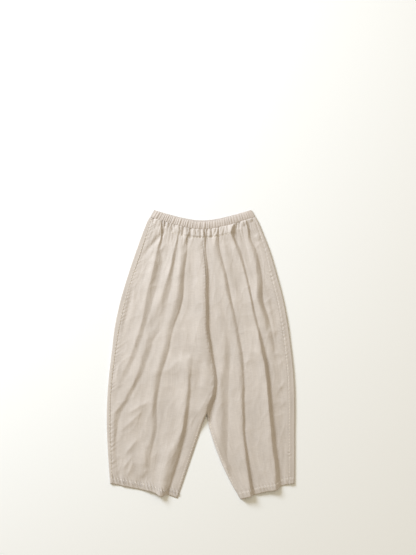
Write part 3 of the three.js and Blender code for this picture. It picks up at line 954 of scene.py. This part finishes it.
def finish_cloth(cloth, material, node):
    """Makes a cloth smooth, gives it its material and puts it in its solid's place."""
    only(cloth)
    bpy.ops.object.shade_smooth()
    cloth.data.materials.clear()
    cloth.data.materials.append(material)
    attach(cloth, "root")
    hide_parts(node)


def leg_front(leg, material):
    """A front panel, with its grid's rows closer together towards the gathers at the top."""
    surface = lambda u, v: front_point(leg, u, 1 - v)
    name = f"{leg.name}_front_cloth"
    cloth = sheet_of_cloth(name, FRONT_GRID[leg.name], surface, FRONT_CUT[leg.name], finer_top=0.25)
    thicken(cloth)
    finish_cloth(cloth, material, f"front_{leg.name}_leg")
    return cloth


def leg_back(leg, material):
    """A back panel. The two legs' grids run opposite ways, so that both have their faces outwards."""
    along = (lambda v: 1 - v) if leg is RIGHT else (lambda v: v)
    surface = lambda u, v: back_point(leg, u, along(v))
    cloth = sheet_of_cloth(f"{leg.name}_back_cloth", BACK_GRID, surface, BACK_CUT)
    thicken(cloth)
    finish_cloth(cloth, material, f"back_{leg.name}_leg")
    return cloth


def waist_casing(material):
    """The band as one closed loop, with the grid's meeting edges joined."""
    cloth = sheet_of_cloth("waistband_casing", BAND_GRID, band_point, BAND_CUT)
    only(cloth)
    bpy.ops.object.mode_set(mode="EDIT")
    bpy.ops.mesh.select_all(action="SELECT")
    bpy.ops.mesh.remove_doubles(threshold=1e-5)
    bpy.ops.mesh.normals_make_consistent(inside=False)
    bpy.ops.object.mode_set(mode="OBJECT")
    finish_cloth(cloth, material, "waistband")
    return cloth


def along_path(path, pitch):
    """Places at an even pitch on path(t), t from 0 to 1, with the way that the path runs there."""
    x, down = path(np.linspace(0, 1, 3000))
    length = np.concatenate([[0], np.cumsum(np.hypot(np.diff(x), np.diff(down)))])
    marks = np.arange(pitch / 2, length[-1], pitch)
    return [np.interp(marks, length, values) for values in (x, down, np.gradient(x), np.gradient(down))]


def down_seam(x_at, start, end):
    """A path that runs down the leg from one level to another."""
    return lambda t: (x_at(lerp(start, end, t)), lerp(start, end, t))


def across_leg(down_at, start, end):
    """A path that runs across the leg from one x to another."""
    return lambda t: (lerp(start, end, t), down_at(lerp(start, end, t)))


def bar_tack(leg, down):
    """A short level path over the side seam."""
    seam = leg.side_seam(down)
    return across_leg(lambda x: np.full_like(x, down), seam + TACK_START, seam + TACK_END)


def model_stitch(material):
    """One stitch: a short rounded length of thread that dips into the cloth at both ends."""
    bpy.ops.object.select_all(action="DESELECT")
    quarter = math.pi / 2
    bpy.ops.mesh.primitive_uv_sphere_add(segments=6, ring_count=4, radius=0.5, rotation=(0, quarter, 0))
    stitch = bpy.context.object
    bpy.ops.object.transform_apply(location=False, rotation=True, scale=False)
    stitch.data.transform(Matrix.Diagonal((STITCH * MM, THREAD * MM, THREAD * MM, 1)))
    bpy.ops.object.shade_smooth()
    stitch.data.materials.clear()
    stitch.data.materials.append(material)
    return stitch


def sew(name, stitch, paths, cloths, bedded=lambda down: 0):
    """Copies of the stitch along each path, laid on the upper surface of the cloths, or pulled into it
    by the depth that bedded gives."""
    surfaces = [BVHTree.FromObject(cloth, bpy.context.evaluated_depsgraph_get()) for cloth in cloths]
    above, straight_down = 0.1, Vector((0, 0, -1))
    row = []
    for path in paths:
        for x, down, run_x, run_down in zip(*along_path(path, STITCH_PITCH)):
            start = Vector((x * MM, (LENGTH / 2 - down) * MM, above))
            hits = [surface.ray_cast(start, straight_down) for surface in surfaces]
            hits = [(place, normal) for place, normal, _, _ in hits if place is not None]
            if not hits:
                continue
            place, normal = max(hits, key=lambda hit: hit[0].z)
            normal = normal if normal.z > 0 else -normal
            side = normal.cross(Vector((run_x, -run_down, 0))).normalized()
            ahead = side.cross(normal)
            turned = Matrix((ahead, side, normal)).transposed().to_4x4()
            copy = stitch.copy()
            copy.data = stitch.data.copy()
            place = place - normal * bedded(down) * MM
            copy.data.transform(Matrix.Translation(place) @ turned)
            bpy.context.collection.objects.link(copy)
            row.append(copy)
    only(row[0])
    for copy in row:
        copy.select_set(True)
    bpy.ops.object.join()
    sewn = bpy.context.object
    sewn.name = sewn.data.name = name
    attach(sewn, "root")
    return sewn


def stitching(thread, fronts, backs):
    """Every row of stitching that shows, worked from one stitch."""
    stitch = model_stitch(thread)
    for leg in (RIGHT, LEFT):
        cloths = [fronts[leg.name], backs[leg.name]]
        beside = lambda down: leg.side_seam(down) + leg.outward * SIDE_ROW_ASIDE
        inner = lambda down: leg.inseam(down) + leg.outward * INSEAM_ROW_ASIDE
        hem_line = lambda x: leg.hem(x) - HEM_DEPTH
        outer_end = leg.edge(HEM_ROW_OUTER) - leg.outward * HEM_ROW_OUTER_SHORT
        inner_end = leg.inseam(HEM_ROW_INNER) + leg.outward * HEM_ROW_INNER_SHORT
        bedded = lambda down: STITCH_BEDDED[leg.name] * (1 - smooth((down - BEDDED_DOWN) / BEDDED_FADE))
        tacks = [bar_tack(leg, POCKET_TOP), bar_tack(leg, POCKET_BOTTOM)]
        sew(f"{leg.name}_side_stitching", stitch, [down_seam(beside, *SIDE_ROW)], cloths, bedded)
        sew(f"{leg.name}_inseam_stitching", stitch, [down_seam(inner, *INSEAM_ROW)], cloths)
        sew(f"{leg.name}_hem_stitching", stitch, [across_leg(hem_line, inner_end, outer_end)], cloths)
        sew(f"{leg.name}_pocket_tacks", stitch, tacks, cloths)
    below_band = lambda x: band_bottom(x) + YOKE_DEPTH
    sew("second_row_stitching", stitch, [across_leg(below_band, *SECOND_ROW)], list(fronts.values()))
    bpy.data.objects.remove(stitch)


def linear(hex_colour):
    """The linear colour of an sRGB hex value such as #d8ccbc."""
    parts = [int(hex_colour[i : i + 2], 16) / 255 for i in (1, 3, 5)]
    return [p / 12.92 if p <= 0.04045 else ((p + 0.055) / 1.055) ** 2.4 for p in parts] + [1]


def add_node(tree, kind, links=(), **settings):
    """Adds a node. A setting names a property or an input, and links pairs inputs with outputs."""
    node = tree.nodes.new(kind)
    for key, value in settings.items():
        if hasattr(node, key):
            setattr(node, key, value)
        else:
            node.inputs[key].default_value = value
    for target, source in links:
        tree.links.new(source, node.inputs[target])
    return node


# Marks to the metre of cloth, across it and along it: thicker warp threads 2.4 mm wide and about 140 mm
# long, and slubs 17 mm long in the weft.
STREAKS = (420, 7, 1)
SLUBS = (60, 420, 1)
WEAVE = 200  # a wave texture of this scale repeats every 1.6 mm
CLOUDS = 14  # to the metre: soft changes of tone, about 70 mm long
TWIST = 900  # to the metre: the twist of the thread's plies, about 1.1 mm long


def plain_weave_cotton_linen(name, colour):
    """Washed plain-weave cotton and linen: matt, faintly uneven in tone, with thicker threads here and
    there that show as fine streaks down the leg. The real threads are about 0.5 mm apart, too fine to
    show, so the weave is drawn at 1.6 mm."""
    material = bpy.data.materials.new(name)
    material.use_nodes = True
    tree = material.node_tree
    tree.nodes.clear()
    uv = add_node(tree, "ShaderNodeUVMap").outputs["UV"]
    on_cut = [("Vector", uv)]
    thicker = []
    for marks_to_the_metre, detail in ((STREAKS, 3), (SLUBS, 2)):
        drawn_out = add_node(tree, "ShaderNodeMapping", on_cut, Scale=marks_to_the_metre)
        place = [("Vector", drawn_out.outputs["Vector"])]
        thicker.append(add_node(tree, "ShaderNodeTexNoise", place, Scale=1, Detail=detail).outputs["Fac"])
    threads = add_node(tree, "ShaderNodeMath", enumerate(thicker), operation="ADD")
    woven = []
    for way in "XY":
        waves = add_node(tree, "ShaderNodeTexWave", on_cut, bands_direction=way, Scale=WEAVE, Distortion=0.6)
        woven.append(waves.outputs["Fac"])
    weave = add_node(tree, "ShaderNodeMath", enumerate(woven), operation="MULTIPLY")
    clouds = add_node(tree, "ShaderNodeTexNoise", on_cut, Scale=CLOUDS, Detail=2)
    both = [(0, threads.outputs[0]), (1, clouds.outputs["Fac"])]
    tone = add_node(tree, "ShaderNodeMath", both, operation="ADD")
    uneven = {"From Min": 1.1, "From Max": 1.9, "To Min": 0.9, "To Max": 1.08}
    ramp = add_node(tree, "ShaderNodeMapRange", [("Value", tone.outputs[0])], **uneven)
    tinted = add_node(tree, "ShaderNodeVectorMath", [(1, ramp.outputs["Result"])], operation="MULTIPLY")
    tinted.inputs[0].default_value = linear(colour)[:3]
    both = [(0, weave.outputs[0]), (1, threads.outputs[0])]
    relief = add_node(tree, "ShaderNodeMath", both, operation="ADD")
    height = [("Height", relief.outputs[0])]
    bumped = add_node(tree, "ShaderNodeBump", height, Strength=0.35, Distance=0.0003)
    shader = add_node(
        tree,
        "ShaderNodeBsdfPrincipled",
        [("Base Color", tinted.outputs[0]), ("Normal", bumped.outputs["Normal"])],
        Roughness=0.88,
    )
    shader.inputs["IOR"].default_value = 1.5
    shader.inputs["Specular IOR Level"].default_value = 0.25
    shader.inputs["Sheen Weight"].default_value = 0.12
    shader.inputs["Sheen Roughness"].default_value = 0.5
    add_node(tree, "ShaderNodeOutputMaterial", [("Surface", shader.outputs[0])])
    return material


def spun_cotton_thread():
    """Spun cotton sewing thread, a shade lighter than the cloth: soft, slightly bright along its top."""
    material = bpy.data.materials.new("spun_cotton_thread")
    material.use_nodes = True
    tree = material.node_tree
    tree.nodes.clear()
    place = add_node(tree, "ShaderNodeTexCoord").outputs["Object"]
    ply = add_node(tree, "ShaderNodeTexNoise", [("Vector", place)], Scale=TWIST, Detail=2)
    uneven = {"From Min": 0.3, "From Max": 0.7, "To Min": 0.88, "To Max": 1.08}
    ramp = add_node(tree, "ShaderNodeMapRange", [("Value", ply.outputs["Fac"])], **uneven)
    tinted = add_node(tree, "ShaderNodeVectorMath", [(1, ramp.outputs["Result"])], operation="MULTIPLY")
    tinted.inputs[0].default_value = linear("#ece4d8")[:3]
    height = [("Height", ply.outputs["Fac"])]
    bumped = add_node(tree, "ShaderNodeBump", height, Strength=0.3, Distance=0.0002)
    shader = add_node(
        tree,
        "ShaderNodeBsdfPrincipled",
        [("Base Color", tinted.outputs[0]), ("Normal", bumped.outputs["Normal"])],
        Roughness=0.7,
    )
    shader.inputs["Sheen Weight"].default_value = 0.15
    add_node(tree, "ShaderNodeOutputMaterial", [("Surface", shader.outputs[0])])
    return material


def floor_paint():
    """Matt white paint on a studio floor: even, with no shine."""
    material = bpy.data.materials.new("matt_white_paint")
    material.use_nodes = True
    shader = material.node_tree.nodes["Principled BSDF"]
    shader.inputs["Base Color"].default_value = linear("#f9fcff")
    shader.inputs["Roughness"].default_value = 0.9
    return material


def studio():
    """A pale floor and soft light from the upper left."""
    bpy.ops.object.select_all(action="DESELECT")
    bpy.ops.mesh.primitive_plane_add(size=12, location=(0, 0, FLOOR_LEVEL))
    floor = bpy.context.object
    floor.name = "floor"
    floor.data.materials.append(floor_paint())
    floor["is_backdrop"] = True
    world = bpy.data.worlds.new("soft_room")
    bpy.context.scene.world = world
    world.use_nodes = True
    room = world.node_tree.nodes["Background"]
    room.inputs["Color"].default_value = linear(ROOM_COLOUR)
    room.inputs["Strength"].default_value = ROOM_STRENGTH
    for name, place, size, power, colour in LAMPS:
        bpy.ops.object.light_add(type="AREA", location=place)
        lamp = bpy.context.object
        lamp.name = name
        lamp.data.size = size
        lamp.data.energy = power
        lamp.data.color = linear(colour)[:3]
        lamp.rotation_euler = (-Vector(place)).to_track_quat("-Z", "Y").to_euler()
    bpy.context.scene.view_settings.view_transform = "Standard"


def camera():
    """A camera that looks straight down."""
    bpy.ops.object.camera_add(location=CAMERA_PLACE, rotation=(0, 0, 0))
    eye = bpy.context.object
    eye.data.lens = LENS
    eye.data.sensor_width = SENSOR
    bpy.context.scene.camera = eye


camera()
studio()
leg_cloth = plain_weave_cotton_linen("washed_cotton_linen_plain_weave", "#cfc7c1")
band_cloth = plain_weave_cotton_linen("gathered_cotton_linen_plain_weave", "#cec5bf")
right_front = leg_front(RIGHT, leg_cloth)
left_front = leg_front(LEFT, leg_cloth)
right_back = leg_back(RIGHT, leg_cloth)
left_back = leg_back(LEFT, leg_cloth)
band = waist_casing(band_cloth)
stitching(
    spun_cotton_thread(),
    {"right": right_front, "left": left_front},
    {"right": right_back, "left": left_back},
)

boxes = {"cad": cad_box, "visual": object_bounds()}
{key: [list(corner) for corner in box] for key, box in boxes.items()}
